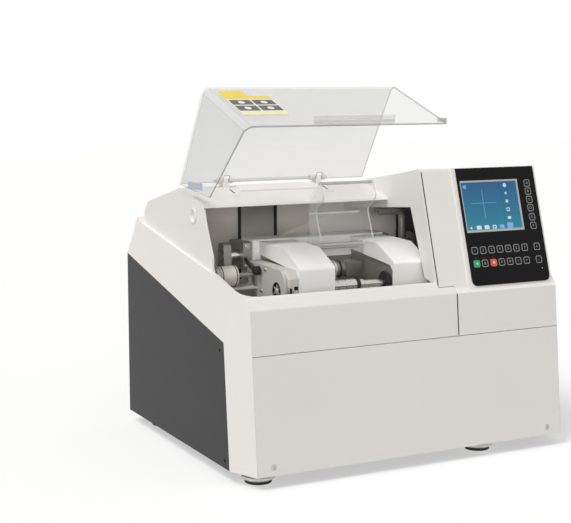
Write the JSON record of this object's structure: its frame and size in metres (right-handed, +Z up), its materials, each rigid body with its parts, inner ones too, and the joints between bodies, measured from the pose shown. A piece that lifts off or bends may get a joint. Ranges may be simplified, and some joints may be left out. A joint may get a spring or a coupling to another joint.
{
  "type": "automatic lens edger",
  "caption": "Bench machine that grinds spectacle lenses to shape: a boxy casing with an open chamber under a clear lifting hood, a tilting carriage and a control panel.",
  "frame": {"origin": "on the table, under the middle of the machine's bounding box", "axes": "+X to the right as seen by the person who works it, +Y from the front to the rear, +Z up"},
  "size_m": [0.61, 0.493, 0.5975],
  "materials": {
    "white_moulding": "satin moulded casing",
    "dark_sheet": "fine textured paint",
    "black_panel": "glossy printed film",
    "screen": "lit screen under glass",
    "green_key": "moulded key",
    "red_key": "moulded key",
    "clear_sheet": "clear bent sheet",
    "grey_paint": "satin paint",
    "cast": "cast and machined",
    "bright": "ground and polished",
    "cream_paint": "satin enamel",
    "black_rubber": "matte",
    "knurl": "knurled and plated",
    "bond": "abrasive in a bronze bond",
    "plug_plastic": "satin"
  },
  "bodies": {
    "cabinet": {"base_pan": "dark_sheet", "foot_front_left": "knurl", "foot_front_right": "knurl", "foot_rear_left": "knurl", "foot_rear_right": "knurl", "front_panel": "white_moulding", "main_cover": "white_moulding", "console_cover": "white_moulding", "left_side_panel": "dark_sheet", "right_side_panel": "dark_sheet", "rear_panel": "dark_sheet", "chamber_tray": "grey_paint", "cover_plug": "plug_plastic", "front_screw_left": "bright", "front_screw_right": "bright", "side_screw_lower": "bright", "side_screw_upper": "bright", "control_panel": "black_panel", "display_module": "screen", "hood_bracket_left": "grey_paint", "hood_bracket_right": "grey_paint", "hood_hinge_rod": "bright", "pivot_shaft": "bright", "left_shaft_post": "cast", "right_shaft_post": "cast", "slide_actuator": "dark_sheet", "spindle_housing": "cast", "wheel_motor": "dark_sheet", "drive_belt": "black_rubber", "coolant_pipe": "bright", "drain_pipe": "black_rubber", "power_supply": "bright", "power_inlet": "black_rubber"},
    "hood": {"hood": "clear_sheet"},
    "slider": {"carriage_slider": "cast"},
    "carriage": {"carriage_frame": "cast", "carriage_cover": "white_moulding", "drive_housing": "grey_paint", "lens_motor": "cream_paint", "lens_belt": "black_rubber", "clamp_motor": "bright", "guard_rod": "bright"},
    "lens_shaft": {"chuck_shaft": "bright", "lens_pulley": "cast", "chuck_pad": "black_rubber"},
    "lens_motor_shaft": {"lens_motor_pulley": "cast"},
    "quill": {"clamp_quill": "bright"},
    "clamp_shaft": {"clamp_shaft": "bright"},
    "guard": {"splash_guard": "clear_sheet"},
    "feeler": {"feeler_lever": "bright"},
    "knob": {"lock_knob": "black_rubber"},
    "spindle": {"wheel_spindle": "bright", "roughing_wheel": "bond", "bevel_wheel": "bond", "polishing_wheel": "bond", "spindle_pulley": "cast"},
    "motor_shaft": {"motor_pulley": "cast"},
    "start_key": {"start_key": "green_key"},
    "stop_key": {"stop_key": "red_key"},
    "switch": {"main_switch": "black_rubber"}
  },
  "joints": [
    {"name": "hood_swing", "type": "hinge", "parent": "cabinet", "child": "hood", "pos_m": [-0.124, 0.0255, 0.444], "axis": [1, 0, 0], "range_deg": [0, 53]},
    {"name": "carriage_slide", "type": "slide", "parent": "cabinet", "child": "slider", "axis": [1, 0, 0], "range_m": [-0.016, 0.02]},
    {"name": "carriage_tilt", "type": "hinge", "parent": "slider", "child": "carriage", "pos_m": [-0.0585, -0.0015, 0.322], "axis": [1, 0, 0], "range_deg": [0, 14]},
    {"name": "lens_spin", "type": "hinge", "parent": "carriage", "child": "lens_shaft", "pos_m": [-0.12, -0.1415, 0.282], "axis": [1, 0, 0], "continuous": true},
    {"name": "lens_motor_spin", "type": "hinge", "parent": "carriage", "child": "lens_motor_shaft", "pos_m": [-0.21, -0.0485, 0.296], "axis": [1, 0, 0], "continuous": true},
    {"name": "clamp_slide", "type": "slide", "parent": "carriage", "child": "quill", "axis": [1, 0, 0], "range_m": [0, 0.03]},
    {"name": "clamp_spin", "type": "hinge", "parent": "quill", "child": "clamp_shaft", "pos_m": [0.01, -0.1415, 0.282], "axis": [1, 0, 0], "continuous": true},
    {"name": "guard_tilt", "type": "hinge", "parent": "carriage", "child": "guard", "pos_m": [-0.054, -0.0665, 0.338], "axis": [1, 0, 0], "range_deg": [0, 78]},
    {"name": "feeler_swing", "type": "hinge", "parent": "carriage", "child": "feeler", "pos_m": [-0.2, -0.0605, 0.306], "axis": [1, 0, 0], "range_deg": [-8, 6]},
    {"name": "knob_turn", "type": "hinge", "parent": "carriage", "child": "knob", "pos_m": [-0.2, -0.0765, 0.306], "axis": [1, 0, 0], "range_deg": [-90, 90]},
    {"name": "spindle_spin", "type": "hinge", "parent": "cabinet", "child": "spindle", "pos_m": [0.1, -0.1065, 0.18], "axis": [1, 0, 0], "continuous": true},
    {"name": "motor_spin", "type": "hinge", "parent": "cabinet", "child": "motor_shaft", "pos_m": [0.2, 0.0835, 0.095], "axis": [1, 0, 0], "continuous": true},
    {"name": "start_press", "type": "slide", "parent": "cabinet", "child": "start_key", "axis": [0, 0.9563, -0.2924], "range_m": [0, 0.0008], "stiffness_N_per_m": 800, "springref_m": -0.0006},
    {"name": "stop_press", "type": "slide", "parent": "cabinet", "child": "stop_key", "axis": [0, 0.9563, -0.2924], "range_m": [0, 0.0008], "stiffness_N_per_m": 800, "springref_m": -0.0006},
    {"name": "switch_rock", "type": "hinge", "parent": "cabinet", "child": "switch", "pos_m": [0.215, 0.2345, 0.094], "axis": [1, 0, 0], "range_deg": [-8, 8]}
  ],
  "couplings": [
    {"joint": "lens_motor_spin", "follows": "lens_spin", "ratio": 2.6667},
    {"joint": "clamp_spin", "follows": "lens_spin", "ratio": 1},
    {"joint": "motor_spin", "follows": "spindle_spin", "ratio": 0.8125}
  ]
}
